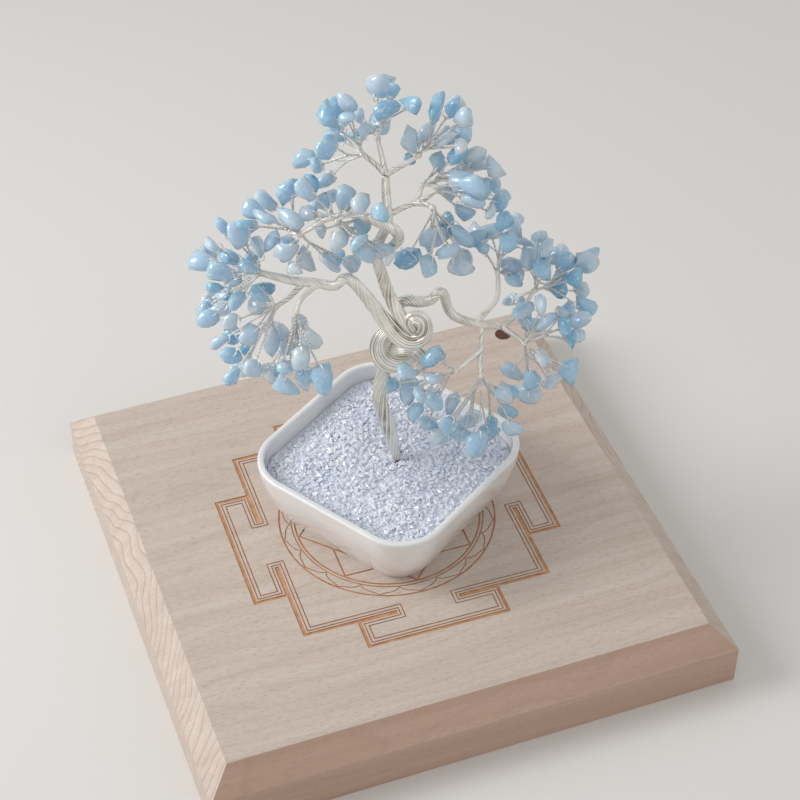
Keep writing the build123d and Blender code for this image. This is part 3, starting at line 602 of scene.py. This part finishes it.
def sanded_beech_board(node, coords):
    """Sanded beech: pale pinkish ground, soft bands along the grain, growth rings where it is cut across,
    and short dark ray flecks about 4 mm long.

    Rings lie round a heart below the board: ring = fraction of (distance from the heart + a slow
    wander) / spacing. Whatever lies at the depth of the burned lines' floor is scorched brown."""
    grain = node("Mapping", {"Vector": coords, "Scale": scale_for(200, 7.6923, 11.111)})
    bands = node("TexNoise", {"Vector": grain, "Scale": 1.0, "Detail": 4.0, "Distortion": 0.3})
    colour = node("ValToRGB", {"Fac": bands}, stops=[(0.25, "#c3b3a7"), (0.5, "#cbbdb2"), (0.75, "#d2c6bc")])
    across = node("Mapping", {"Vector": coords, "Location": HEART_SHIFT, "Scale": (0, 1, 1)})
    from_heart = node("VectorMath", {0: across}, output="Value", operation="LENGTH")
    slow = node("Mapping", {"Vector": coords, "Scale": scale_for(142.86, 62.5, 62.5)})
    wander = node("TexNoise", {"Vector": slow, "Scale": 1.0})
    wandered = node("Math", {0: wander, 1: RING_WANDER, 2: from_heart}, operation="MULTIPLY_ADD")
    spaced = node("Math", {0: wandered, 1: 1 / RING_SPACING}, operation="MULTIPLY")
    ring = node("Math", {0: spaced}, operation="FRACT")
    late = node("ValToRGB", {"Fac": ring}, stops=[
        (0.0, "#ffffff"), (0.7, "#f6f1ec"), (0.9, "#cbbaad"), (1.0, "#ffffff"),
    ])
    # rings show most on the end grain, and the long edges, which face front and back, are painted darker and
    # warmer than the top as painted shade
    for axis, low, high, tint in [("X", 0.14, 0.6, late), ("Y", 0.0, 0.75, linear("#e6c6b3"))]:
        normal = node("NewGeometry", output="True Normal")
        along = node("SeparateXYZ", {"Vector": normal}, output=axis)
        facing = node("MapRange", {
            "Value": node("Math", {0: along}, operation="ABSOLUTE"),
            "From Min": 0.3, "From Max": 0.7, "To Min": low, "To Max": high,
        })
        colour = node("Mix", {0: facing, 6: colour, 7: tint}, output=2,
                      data_type="RGBA", blend_type="MULTIPLY")
    short = node("Mapping", {"Vector": coords, "Scale": scale_for(3.8462, 0.66667, 1.1111)})
    flecks = node("TexNoise", {"Vector": short, "Scale": 1.0})
    fleck = node("MapRange", {"Value": flecks, "From Min": 0.55, "From Max": 0.68, "To Max": 0.42})
    flecked = node("Mix", {0: fleck, 6: colour, 7: linear("#a58a78")}, output=2, data_type="RGBA")
    height = node("SeparateXYZ", {"Vector": coords}, output="Z")
    from_middle = node("VectorMath", {0: coords}, output="Value", operation="LENGTH")
    burned = 1.0
    for value, limit, side in [
        (height, BOARD_TOP - BURN_SLACK, "LESS_THAN"),
        (height, BOARD_TOP - BURN_DEPTH - BURN_SLACK, "GREATER_THAN"),
        (from_middle, BURN_REACH, "LESS_THAN"),
    ]:
        within = node("Math", {0: value, 1: limit}, operation=side)
        burned = node("Math", {0: within, 1: burned}, operation="MULTIPLY")
    scorch = node("TexNoise", {"Vector": coords, "Scale": scale_for(5.2632), "Detail": 3.0})
    burn = node("ValToRGB", {"Fac": scorch}, stops=[(0.25, "#ad7a50"), (0.5, "#c08f68"), (0.75, "#cea47f")])
    return {
        "Base Color": node("Mix", {0: burned, 6: flecked, 7: burn}, output=2, data_type="RGBA"),
        "Roughness": 0.55,
        "Normal": node("Bump", {"Height": flecks, "Distance": 0.0003, "Strength": 0.2}),
    }


def red_hardwood_inlay(node, coords):
    """Oiled red hardwood plug: deep red-brown with fine pores, drawn long enough to show."""
    fine = node("Mapping", {"Vector": coords, "Scale": scale_for(2.5, 0.45455, 2.5)})
    pores = node("TexNoise", {"Vector": fine, "Scale": 1.0, "Detail": 3.0})
    return {
        "Base Color": node("ValToRGB", {"Fac": pores}, stops=[(0.3, "#3a1813"), (0.7, "#642e22")]),
        "Roughness": 0.35,
        "Normal": node("Bump", {"Height": pores, "Distance": 0.0002, "Strength": 0.3}),
    }


def pale_floor(node, coords):
    """Plain pale floor: matt and barely textured, so that the object's shadow shows."""
    grain = node("TexNoise", {"Vector": coords, "Scale": scale_for(2)})
    return {
        "Base Color": bpy.context.scene.gem_tree_colours.floor_colour,
        "Roughness": 0.9,
        "Normal": node("Bump", {"Height": grain, "Distance": 0.0002, "Strength": 0.1}),
    }


# Settings a user would change

class GemTreeSizes(bpy.types.PropertyGroup):
    strands: IntProperty(name="Strands", description="Wires round each thick rope", default=18, min=6, max=40)
    branch_strands: IntProperty(
        name="Branch strands", description="Wires round each thin rope", default=9, min=5, max=16)
    wire_sides: IntProperty(name="Wire sides", description="Sides of each wire", default=6, min=4, max=12)
    wire_step: FloatProperty(
        name="Wire step", description="Step along a wire", default=0.0011, min=0.0004, unit="LENGTH")
    twig_wire: FloatProperty(
        name="Twig wire", description="Diameter of twig wires", default=0.00068, min=0.0002, unit="LENGTH")
    twig_lay: FloatProperty(
        name="Twig lay", description="Length of one turn of a twig", default=0.0042, min=0.001, unit="LENGTH")
    grain: FloatProperty(
        name="Grain", description="Width of a grain of grit", default=0.0031, min=0.001, unit="LENGTH")
    grain_spacing: FloatProperty(
        name="Grain spacing", description="Distance between grains", default=0.0016, min=0.001, unit="LENGTH")


class GemTreeColours(bpy.types.PropertyGroup):
    floor_colour: FloatVectorProperty(
        name="Floor", description="Colour of the floor", subtype="COLOR", size=4, default=linear("#e2e1df"),
        min=0.0, max=1.0)
    key_power: FloatProperty(
        name="Key light", description="Power of the soft light at the left", default=5.6, unit="POWER")
    fill_power: FloatProperty(
        name="Fill light", description="Power of the light at the right", default=0.72, unit="POWER")
    sky_strength: FloatProperty(name="Sky", description="Strength of the even light", default=0.57)


# Operators

class GEMTREE_OT_board(bpy.types.Operator):
    """Gives the display board and its inlay their woods"""
    bl_idname = "gemtree.board"
    bl_label = "Dress the board"

    def execute(self, context):
        wear("display_board", sanded_beech_board)
        wear("corner_inlay", red_hardwood_inlay)
        return {"FINISHED"}


class GEMTREE_OT_pot(bpy.types.Operator):
    """Glazes the pot and gives the filling its plaster"""
    bl_idname = "gemtree.pot"
    bl_label = "Glaze the pot"

    def execute(self, context):
        wear("pot", glazed_white_stoneware)
        wear("plaster_plug", cast_plaster)
        wear("crystal_bed", crushed_quartz_grit)
        return {"FINISHED"}


def wear(node, look):
    """Give a node of the frame one look, in place of what it came with."""
    mesh = frame["nodes"][node].data
    mesh.materials.clear()
    mesh.materials.append(material_of(look))


class GEMTREE_OT_grit(bpy.types.Operator):
    """Strews crushed quartz over the bed of the pot"""
    bl_idname = "gemtree.grit"
    bl_label = "Strew the grit"

    def execute(self, context):
        sizes = context.scene.gem_tree_sizes
        corners, faces, tones = grit_mesh(sizes.grain, sizes.grain_spacing)
        piece = add_piece("crystal_grit", corners, faces, tones, crushed_quartz_grit, smooth=False)
        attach(piece, TREE)
        return {"FINISHED"}


def grit_mesh(grain, spacing):
    """Two layers of jittered rows of six-cornered shards over the mounded bed.

    A shard is an octahedron with each corner moved by chance and its three sizes varied. The bed's
    height falls from the mound's top to the level at the wall."""
    solid = np.concatenate([np.eye(3), -np.eye(3)])
    faces = np.array([
        (0, 1, 2), (1, 3, 2), (3, 4, 2), (4, 0, 2), (1, 0, 5), (3, 1, 5), (4, 3, 5), (0, 4, 5),
    ])
    steps = np.arange(-BED_HALF, BED_HALF, spacing)
    across, away = (grid.ravel() for grid in np.meshgrid(steps, steps))
    layers = []
    margin = grain * WALL_MARGIN
    for rise, filled in GRIT_LAYERS:
        kept = rng.random(len(across)) < filled
        u = across[kept] + rng.normal(0, spacing * PLACE_CHANCE, kept.sum())
        v = away[kept] + rng.normal(0, spacing * PLACE_CHANCE, kept.sum())
        edge = np.maximum(np.abs(u), np.abs(v))
        past_u, past_v = (np.clip(np.abs(side) - BED_HALF + BED_CORNER, 0, None) for side in (u, v))
        inside = (edge < BED_HALF - margin) & (np.hypot(past_u, past_v) < BED_CORNER - margin)
        u, v, edge = u[inside], v[inside], edge[inside]
        mound = BED_MOUND * np.clip((BED_HALF - edge) / (BED_HALF - MOUND_HALF), 0, 1)
        height = BED_LEVEL + mound + grain * rise
        x = POT_CENTRE[0] + u * math.cos(POT_TURN) - v * math.sin(POT_TURN)
        y = POT_CENTRE[1] + u * math.sin(POT_TURN) + v * math.cos(POT_TURN)
        layers.append(np.stack([x, y, height + rng.normal(0, grain * RISE_CHANCE, len(u))], axis=1))
    middles = np.concatenate(layers)
    clear = np.hypot(middles[:, 0] - TRUNK_FOOT[0], middles[:, 1] - TRUNK_FOOT[1]) > FOOT_RADIUS
    middles = middles[clear]
    count = len(middles)
    frames = lying_frames(count)
    halves = grain / 2 * rng.uniform(*SIZE_CHANCES, (count, 1))
    halves = halves * rng.uniform(LEAST_SIDES, MOST_SIDES, (count, 3))
    moved = solid[None] + rng.normal(0, CORNER_CHANCE, (count, *solid.shape))
    corners = middles[:, None] + np.einsum("pca,pax->pcx", moved * halves[:, None], frames)
    all_faces = (faces[None] + np.arange(count)[:, None, None] * len(solid)).reshape(-1, 3).tolist()
    return corners.reshape(-1, 3), all_faces, np.repeat(rng.random(count), len(solid))


def lying_frames(count):
    """Three square unit axes for each of a number of shards, the third one upright give or take a tilt."""
    third = unit(np.column_stack([rng.normal(0, GRAIN_TILT, (count, 2)), np.ones(count)]))
    first = unit(np.cross(third, rng.normal(size=(count, 3))))
    return np.stack([first, np.cross(third, first), third], axis=1)


class GEMTREE_OT_trunk(bpy.types.Operator):
    """Winds the trunk and the lower knot from one bundle of wires"""
    bl_idname = "gemtree.trunk"
    bl_label = "Wind the trunk"

    def execute(self, context):
        sizes = context.scene.gem_tree_sizes
        foot = TRUNK_FOOT - UP * BED_MOUND
        root = foot - UP * ROOT_LENGTH
        trunk = wound_rope([root, foot] + spots(TRUNK_PX), TRUNK_WIDTHS, TRUNK_LAY, sizes)
        add_rope("trunk_wires", [trunk], ["trunk_rope"], TREE)
        band = wound_rope(spots(LOWER_BAND_PX), LOWER_BAND_WIDTHS, LOWER_LAY, sizes, flat=BAND_FLAT)
        loop = wound_rope(spots(LOWER_LOOP_PX), LOWER_LOOP_WIDTHS, LOWER_LAY, sizes, flat=LOOP_FLAT)
        add_rope("lower_knot_wires", [band, loop], ["lower_knot"], TREE)
        return {"FINISHED"}


def add_rope(name, ropes, nodes=(), body=None):
    """One piece of wound ropes that stands for the named nodes and rides on a body, where these are given."""
    piece = add_piece(name, *join_meshes(ropes), drawn_silvered_wire)
    if nodes:
        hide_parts(*nodes)
    if body:
        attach(piece, body)
    return piece


def add_bending_rope(name, ropes, nodes):
    """One piece of wound ropes that stands for the named nodes, with its place baked into its mesh."""
    piece = add_rope(name, ropes, nodes)
    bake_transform(piece)


class GEMTREE_OT_left_bough(bpy.types.Operator):
    """Winds the upper knot and the left bough, one unbroken rope, and its two drooping branches"""
    bl_idname = "gemtree.left_bough"
    bl_label = "Wind the left bough"

    def execute(self, context):
        sizes = context.scene.gem_tree_sizes
        route = spots(SWIRL_PX + [LEFT_PIVOT_PX] + LEFT_ROPE_PX)
        bough = wound_rope(route, SWIRL_WIDTHS + LEFT_WIDTHS, LEFT_LAYS, sizes, flat=SWIRL_FLAT)
        add_bending_rope("left_bough_wires", [bough], ["left_bundle", "left_rope"])
        add_rope("left_branch_wires", wound_branches(LEFT_BRANCHES_PX, sizes), body="left_bough")
        return {"FINISHED"}


class GEMTREE_OT_crown(bpy.types.Operator):
    """Winds the crown's rope, the rope that crosses it and their branches"""
    bl_idname = "gemtree.crown"
    bl_label = "Wind the crown"

    def execute(self, context):
        sizes = context.scene.gem_tree_sizes
        route = spots(CENTRE_ROPE_PX + [CROWN_PIVOT_PX] + CROWN_ROPE_PX)
        crown = wound_rope(route, CENTRE_WIDTHS + CROWN_WIDTHS, CROWN_LAYS, sizes)
        add_bending_rope("crown_wires", [crown], ["centre_bundle", "crown_rope"])
        crossing = wound_rope(spots(CROSSING_ROPE_PX), CROSSING_WIDTHS, CROSSING_LAY, sizes)
        crossing = [crossing] + wound_branches(CROSSING_BRANCHES_PX, sizes)
        add_rope("crossing_wires", crossing, ["crossing_rope"], "crown_bough")
        add_rope("crown_branch_wires", wound_branches(CROWN_BRANCHES_PX, sizes), body="crown_bough")
        return {"FINISHED"}


class GEMTREE_OT_right_bough(bpy.types.Operator):
    """Winds the right bough with its hump and branches, and the low bough in front"""
    bl_idname = "gemtree.right_bough"
    bl_label = "Wind the right boughs"

    def execute(self, context):
        sizes = context.scene.gem_tree_sizes
        route = spots(RIGHT_ROPE_PX + [RIGHT_PIVOT_PX] + RIGHT_BOUGH_PX)
        bough = wound_rope(route, RIGHT_WIDTHS + BOUGH_WIDTHS, RIGHT_LAYS, sizes)
        add_bending_rope("right_bough_wires", [bough], ["right_rope", "right_bough_rope"])
        add_rope("right_branch_wires", wound_branches(RIGHT_BRANCHES_PX, sizes), body="right_bough")
        front_route = [FRONT_FORK_PX, FRONT_PIVOT_PX] + FRONT_ROPE_PX
        fronts = wound_branches([front_route] + FRONT_BRANCHES_PX, sizes)
        add_bending_rope("front_bough_wires", fronts, ["front_rope"])
        return {"FINISHED"}


def islands(node):
    """Corners of each separate solid in a node's mesh, found by the faces' shared places."""
    mesh = frame["nodes"][node].data
    places = np.empty(len(mesh.vertices) * 3)
    mesh.vertices.foreach_get("co", places)
    places = places.reshape(-1, 3)
    _, merged = np.unique(np.round(places * 1e6).astype(np.int64), axis=0, return_inverse=True)
    merged = merged.ravel()
    mesh.calc_loop_triangles()
    triangles = np.empty(len(mesh.loop_triangles) * 3, int)
    mesh.loop_triangles.foreach_get("vertices", triangles)
    triangles = merged[triangles].reshape(-1, 3)
    label = np.arange(merged.max() + 1)
    while True:
        lowest = label[triangles].min(axis=1)
        after = label.copy()
        for corner in range(3):
            np.minimum.at(after, triangles[:, corner], lowest)
        if (after == label).all():
            break
        label = after
    owner = label[merged]
    return [np.unique(places[owner == value], axis=0) for value in np.unique(owner)]


def stone_places(node, hub):
    """Middle, three axes and three half sizes of each stone: one axis away from the hub, the others
    along the widest and least spread across it."""
    middles, frames, halves = [], [], []
    for corners in islands(node):
        middle = (corners.min(axis=0) + corners.max(axis=0)) / 2
        aim = unit(corners.mean(axis=0) - hub)
        flat = corners - middle - np.outer((corners - middle) @ aim, aim)
        side = np.linalg.eigh(flat.T @ flat)[1][:, 2]
        axes = np.stack([side, np.cross(aim, side), aim])
        reach = (corners - middle) @ axes.T
        middles.append(middle + (reach.min(axis=0) + reach.max(axis=0)) / 2 @ axes)
        frames.append(axes)
        halves.append((reach.max(axis=0) - reach.min(axis=0)) / 2)
    return np.array(middles), np.array(frames), np.array(halves)


def twig_groups(aims, members=3, rounds=8):
    """Group number of each twig: directions are gathered round evenly picked ones, again and again."""
    count = max(1, round(len(aims) / members))
    order = np.lexsort((aims[:, 1], aims[:, 2], aims[:, 0]))
    leads = aims[order[np.linspace(0, len(aims) - 1, count).astype(int)]]
    for _ in range(rounds):
        group = (aims @ leads.T).argmax(axis=1)
        leads = np.array([
            unit(aims[group == k].sum(axis=0)) if (group == k).any() else leads[k] for k in range(count)
        ])
    return group


def twig_mesh(hub, middles, frames, halves, sizes):
    """Twisted pairs from the hub to each stone, a drill wire through each stone and a wrapped hub.

    Twigs of one group wind round a common stem as far as their fork, and part along parabolas there.
    Wire w of a pair lies at half a wire's width from the twig's line, at angle w/2 + length/lay. The
    drill wire goes from the twig's end round one side, through the stone and back. The hub is a ball
    of four slanting turns of wire."""
    wire = sizes.twig_wire
    parts = []
    seats = middles - frames[:, 2] * halves[:, 2:3]
    group = twig_groups(unit(seats - hub))
    share = np.linspace(0, 1, TWIG_POINTS)[:, None]
    for index, (axes, half, seat) in enumerate(zip(frames, halves, seats)):
        along_side, aim = axes[1], axes[2]
        fellows = seats[group == group[index]] - hub
        reach = np.linalg.norm(fellows, axis=1).min()
        lead = unit(unit(fellows).sum(axis=0))
        fork = hub + lead * reach * FORK_SHARE
        stem = hub + (fork - hub) * share[:-1]
        bow = fork + lead * reach * BOW_SHARE
        arc = (1 - share) ** 2 * fork + 2 * share * (1 - share) * bow + share**2 * seat
        line, along = even_steps(np.concatenate([stem, arc]), sizes.twig_lay / STEPS_PER_LAY)
        across = unit(np.cross(lead, axes[0]))
        twist = TAU * (along / STEM_LAY + index / STEM_TWIGS)
        apart = np.clip(1 - along / (reach * FORK_SHARE), 0, 1) ** 0.5 * STEM_RADIUS
        around = across * np.cos(twist)[:, None] + np.cross(lead, across) * np.sin(twist)[:, None]
        line = line + around * apart[:, None]
        angle = TAU * (np.array([[0], [0.5]]) + along[None] / sizes.twig_lay)
        outward = axes[0] * np.cos(angle)[..., None] + along_side * np.sin(angle)[..., None]
        pair, pair_faces = tube_mesh(line[None] + outward * wire * 0.5, outward, wire / 2, TWIG_SIDES)
        # painted shade: each wire of a pair is light on its outer side and dark on its inner side
        tones = LEAST_TWIG_SHADE_TONE + (1 - LEAST_TWIG_SHADE_TONE) * crests(2, len(line), TWIG_SIDES)
        parts.append((pair, pair_faces, tones))
        aside = DRILL_LOOP[:, 0] * half[1] * DRILL_DEPTH
        onward = DRILL_LOOP[:, 1] * half[2] + DRILL_LOOP[:, 2] * wire
        loop = seat + np.outer(aside, along_side) + np.outer(onward, aim)
        facing = np.broadcast_to(axes[0], (1, *loop.shape))
        strand, strand_faces = tube_mesh(loop[None], facing, wire * DRILL_WIRE, TWIG_SIDES)
        parts.append((strand, strand_faces, np.full(len(strand), DRILL_TONE)))
    share = np.linspace(0, 1, COIL_POINTS)
    rise = (share * 2 - 1) * COIL_RISE
    turn = TAU * COIL_TURNS * share
    wrap = np.stack([np.cos(turn) * np.sqrt(1 - rise**2), np.sin(turn) * np.sqrt(1 - rise**2), rise], axis=1)
    lean = unit(COIL_LEAN)
    first = unit(np.cross(lean, UP))
    turned = wrap @ np.stack([first, np.cross(lean, first), lean])
    turns = hub + turned * HUB * HUB_BALL
    coil, coil_faces = tube_mesh(turns[None], turned[None], HUB * COIL_WIRE, COIL_SIDES)
    parts.append((coil, coil_faces, np.full(len(coil), COIL_TONE)))
    # the ball's low tone is painted shade that shows between the coil's turns
    ball, quads, caps = ball_grid(4, 8)
    parts.append((hub + ball * HUB * HUB_BALL, quads.tolist() + caps.tolist(), np.full(len(ball), HUB_SHADE)))
    return join_meshes(parts)


class GEMTREE_OT_stones(bpy.types.Operator):
    """Sets the tumbled stones of every spray and twists their wires"""
    bl_idname = "gemtree.stones"
    bl_label = "Set the stones"

    def execute(self, context):
        sizes = context.scene.gem_tree_sizes
        for spray, hub_px in HUBS_PX.items():
            hub = spot(*hub_px)
            node = f"chips_{spray}"
            middles, frames, halves = stone_places(node, hub)
            crowded = np.linalg.norm(middles - KNOT_MIDDLE, axis=1) < KNOT_ROOM
            halves = halves * np.where(crowded[:, None], SLIM_FULLNESS, CHIP_FULLNESS)
            corners, faces = chip_mesh(middles, frames, halves, *CHIP_GRID)
            tones = np.repeat(rng.beta(*CHIP_TONES, len(middles)), len(corners) // len(middles))
            piece = add_piece(f"stones_{spray}", corners, faces, tones, tumbled_blue_stone)
            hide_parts(node)
            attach(piece, BODY_OF[node])
            twigs = twig_mesh(hub, middles, frames, halves, sizes)
            add_rope(f"twisted_{spray}", [twigs], [f"twigs_{spray}"], BODY_OF[node])
        return {"FINISHED"}


class GEMTREE_OT_stage(bpy.types.Operator):
    """Lays the floor and sets the camera and the soft lights"""
    bl_idname = "gemtree.stage"
    bl_label = "Set the stage"

    def execute(self, context):
        scene = context.scene
        colours = scene.gem_tree_colours
        corners = np.array([(-1, -1, 0), (1, -1, 0), (1, 1, 0), (-1, 1, 0)]) * FLOOR_HALF - UP * FLOOR_DROP
        floor = add_piece("floor", corners, [[0, 1, 2, 3]], np.zeros(4), pale_floor, smooth=False)
        lens = bpy.data.cameras.new("view")
        lens.lens = CAMERA_LENS
        camera = bpy.data.objects.new("view", lens)
        forward = unit(CAMERA_FORWARD)
        right = unit(CAMERA_RIGHT - forward * (CAMERA_RIGHT @ forward))
        upward = np.cross(right, forward)
        turned = Matrix(np.stack([right, upward, -forward], axis=1).tolist()).to_4x4()
        turned.translation = CAMERA_PLACE
        camera.matrix_world = turned
        scene.collection.objects.link(camera)
        scene.camera = camera
        add_area_light("key", KEY_PLACE, AIM, KEY_WIDTH, colours.key_power)
        add_area_light("fill", FILL_PLACE, AIM, FILL_WIDTH, colours.fill_power)
        world = bpy.data.worlds.new("even_sky")
        world.use_nodes = True
        tree = world.node_tree
        seen = 0.0
        for ray in ("Is Camera Ray", "Is Glossy Ray", "Is Transmission Ray"):
            path = add_node(tree, "LightPath", output=ray)
            seen = add_node(tree, "Math", {0: path, 1: seen}, operation="MAXIMUM")
        set_inputs(tree, tree.nodes["Background"], {
            "Color": linear("#fbf9f6"),
            "Strength": add_node(tree, "MapRange", {
                "Value": seen, "To Min": colours.sky_strength, "To Max": BACKGROUND_STRENGTH,
            }),
        })
        scene.world = world
        scene.view_settings.view_transform = "Standard"
        return {"FINISHED"}


def add_area_light(name, place, target, size, power):
    """Square soft light at a place, facing a target."""
    lamp = bpy.data.lights.new(name, "AREA")
    lamp.size = size
    lamp.energy = power
    lamp.spread = LAMP_SPREAD
    light = bpy.data.objects.new(name, lamp)
    facing = unit(np.array(target, float) - np.array(place, float))
    side = unit(np.cross(facing, UP))
    turned = Matrix(np.stack([side, np.cross(side, facing), -facing], axis=1).tolist()).to_4x4()
    turned.translation = place
    light.matrix_world = turned
    bpy.context.scene.collection.objects.link(light)


class GEMTREE_PT_panel(bpy.types.Panel):
    """Lists the tree's settings and the steps that build it"""
    bl_idname = "GEMTREE_PT_panel"
    bl_label = "Gem Tree"
    bl_space_type = "VIEW_3D"
    bl_region_type = "UI"
    bl_category = "Gem Tree"

    def draw(self, context):
        for group in (context.scene.gem_tree_sizes, context.scene.gem_tree_colours):
            for name in group.__annotations__:
                self.layout.prop(group, name)
        for operator in OPERATORS:
            self.layout.operator(operator.bl_idname)


OPERATORS = (
    GEMTREE_OT_stage, GEMTREE_OT_board, GEMTREE_OT_pot, GEMTREE_OT_grit, GEMTREE_OT_trunk,
    GEMTREE_OT_left_bough, GEMTREE_OT_crown, GEMTREE_OT_right_bough, GEMTREE_OT_stones,
)
CLASSES = (GemTreeSizes, GemTreeColours, *OPERATORS, GEMTREE_PT_panel)


def register():
    for made in CLASSES:
        bpy.utils.register_class(made)
    bpy.types.Scene.gem_tree_sizes = PointerProperty(type=GemTreeSizes)
    bpy.types.Scene.gem_tree_colours = PointerProperty(type=GemTreeColours)


def unregister():
    del bpy.types.Scene.gem_tree_colours
    del bpy.types.Scene.gem_tree_sizes
    for made in reversed(CLASSES):
        bpy.utils.unregister_class(made)


def main():
    register()
    bpy.ops.gemtree.stage()
    bpy.ops.gemtree.board()
    bpy.ops.gemtree.pot()
    bpy.ops.gemtree.grit()
    bpy.ops.gemtree.trunk()
    bpy.ops.gemtree.left_bough()
    bpy.ops.gemtree.crown()
    bpy.ops.gemtree.right_bough()
    bpy.ops.gemtree.stones()


if __name__ == "__main__":
    main()
